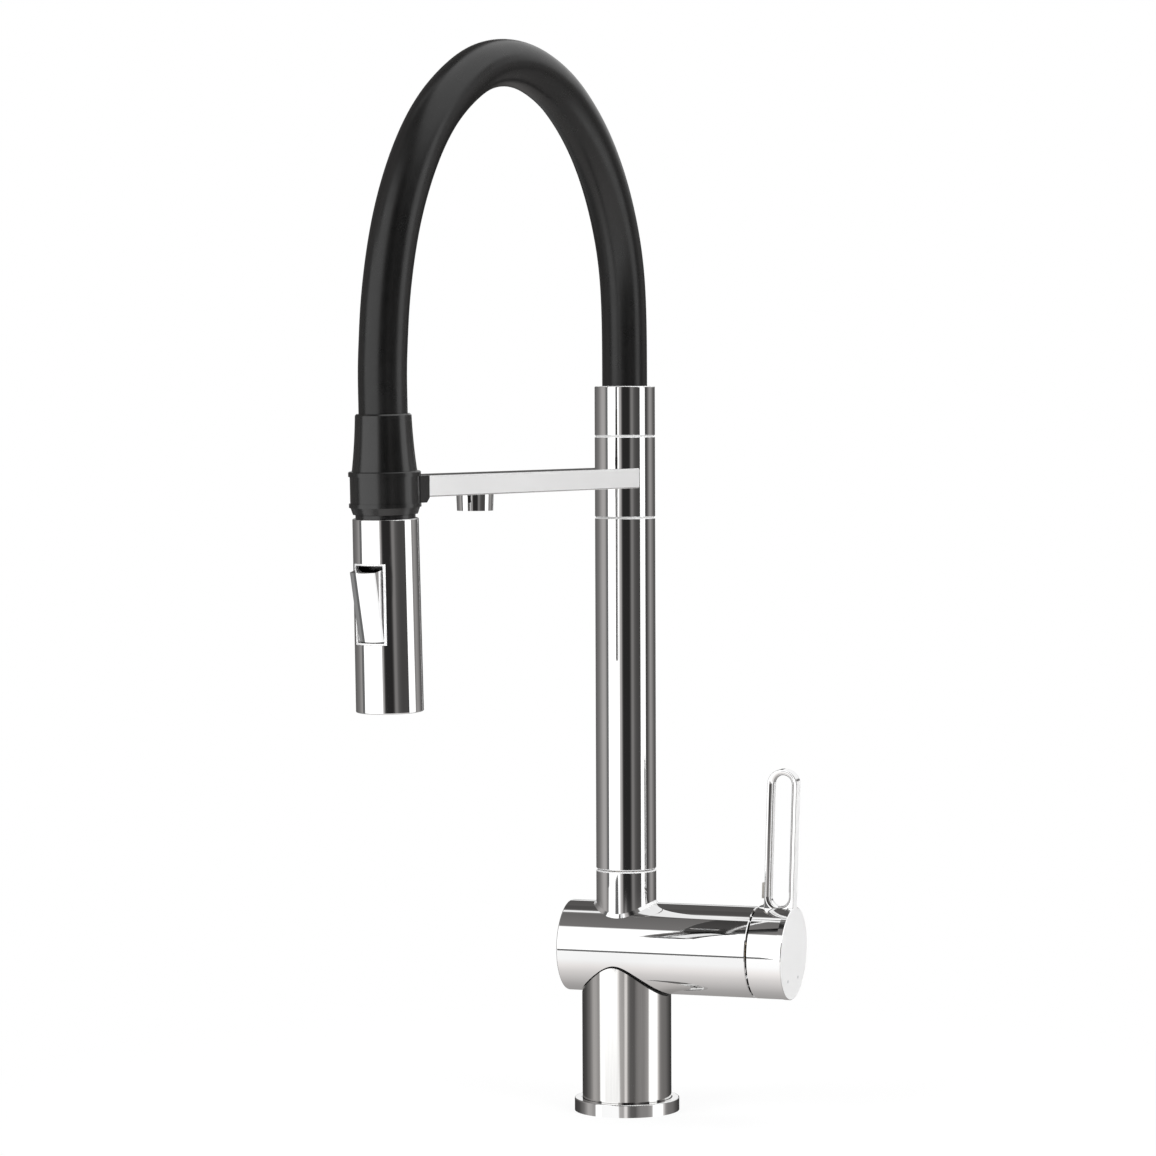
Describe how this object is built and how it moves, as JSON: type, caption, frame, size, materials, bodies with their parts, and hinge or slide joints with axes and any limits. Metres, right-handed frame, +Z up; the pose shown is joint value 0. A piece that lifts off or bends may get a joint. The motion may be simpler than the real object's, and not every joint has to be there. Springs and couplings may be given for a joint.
{
  "type": "kitchen sink tap",
  "caption": "Single-lever kitchen sink tap with a black hose arch, a pull-off spray docked on a swivel arm, and a filtered water outlet under the arm.",
  "frame": {"origin": "centre of the base on the deck", "axes": "+Z up; +X along the mixer barrel towards the lever; the arm points to the front, near -Y"},
  "size_m": [0.1518, 0.2499, 0.5277],
  "materials": {
    "chrome": "polished chrome plate",
    "brushed": "brushed, grain up the column",
    "brass": "machined brass",
    "black_plastic": "satin black plastic",
    "hose_black": "matt black silicone sleeve",
    "rubber": "matt rubber",
    "white_plastic": "moulded white plastic",
    "grey_plastic": "moulded grey plastic",
    "ceramic": "ground ceramic",
    "steel": "stainless steel",
    "braid": "reinforced water hose"
  },
  "bodies": {
    "root": {"base_flange": "chrome", "deck_seal": "rubber", "column_tube": "brushed", "base_manifold": "brass", "supply_tubes": "steel", "filtered_supply_tube": "steel", "mixer_body": "chrome", "riser_socket": "chrome", "spout_spigot": "brass", "spigot_o_rings": "rubber", "spigot_clip": "steel", "filter_valve": "brass", "end_cap": "chrome", "button_spring": "steel", "cartridge_seals": "rubber", "cartridge_housing": "white_plastic", "ceramic_fixed_disc": "ceramic", "cartridge_nut": "brass"},
    "mixing_rotor": {"cartridge_rotor": "white_plastic", "ceramic_moving_disc": "ceramic"},
    "lever": {"lever_stem": "brass", "lever_handle": "chrome", "lever_set_screw": "steel", "screw_plug": "grey_plastic", "lever_bumper": "rubber", "temperature_marks": "grey_plastic"},
    "filter_push": {"filter_button": "chrome"},
    "spout": {"riser_tube": "chrome", "swivel_bush": "brass", "mixed_water_tube": "brass", "filtered_water_tube": "steel", "collar_manifold": "brass", "arm_collar": "chrome", "riser_top": "chrome", "spout_arm": "chrome", "arm_screws": "steel", "arm_water_tube": "steel", "arm_outlet_housing": "chrome", "arm_aerator": "grey_plastic", "dock_bracket": "black_plastic", "dock_magnet": "steel", "hose_sleeve": "hose_black", "hose_spring": "steel", "inner_hose": "braid", "hose_ferrule": "brass"},
    "dock_head": {"hose_cone": "black_plastic", "dock_ring": "black_plastic", "dock_plate": "steel", "hose_end_fitting": "brass"},
    "handset": {"handset_shell": "chrome", "handset_core": "black_plastic", "check_valve": "white_plastic", "toggle_frame": "chrome", "rocker_pin": "steel", "spray_ring": "chrome", "spray_face": "rubber", "handset_aerator": "grey_plastic"},
    "rocker": {"rocker": "chrome"},
    "diverter": {"diverter_spool": "grey_plastic"}
  },
  "joints": [
    {"name": "spout_swivel", "type": "hinge", "parent": "root", "child": "spout", "pos_m": [0, 0, 0.121], "axis": [0, 0, 1], "continuous": true},
    {"name": "handset_undock", "type": "slide", "parent": "spout", "child": "dock_head", "axis": [-0.2164, -0.9763, 0], "range_m": [0, 0.035], "deforming": ["hose_sleeve", "hose_spring", "inner_hose"]},
    {"name": "handset_swivel", "type": "hinge", "parent": "dock_head", "child": "handset", "pos_m": [-0.04516, -0.20372, 0.3043], "axis": [-0.0064, -0.029, 0.9996], "continuous": true},
    {"name": "rocker_press", "type": "hinge", "parent": "handset", "child": "rocker", "pos_m": [-0.04689, -0.21153, 0.25004], "axis": [-0.9763, 0.2164, 0], "range_deg": [0, 10.5]},
    {"name": "diverter_slide", "type": "slide", "parent": "handset", "child": "diverter", "axis": [0.0064, 0.029, -0.9996], "range_m": [0, 0.0015]},
    {"name": "lever_temperature", "type": "hinge", "parent": "root", "child": "mixing_rotor", "pos_m": [0.05185, 0, 0.0819], "axis": [1, 0, 0], "range_deg": [-45, 45]},
    {"name": "lever_flow", "type": "hinge", "parent": "mixing_rotor", "child": "lever", "pos_m": [0.05185, 0, 0.0819], "axis": [0, 1, 0], "range_deg": [0, 20]},
    {"name": "filter_button_press", "type": "slide", "parent": "root", "child": "filter_push", "axis": [1, 0, 0], "range_m": [0, 0.002], "stiffness_N_per_m": 800, "springref_m": -0.002}
  ],
  "couplings": [
    {"joint": "diverter_slide", "follows": "rocker_press", "m_per_rad": 0.0081769}
  ]
}
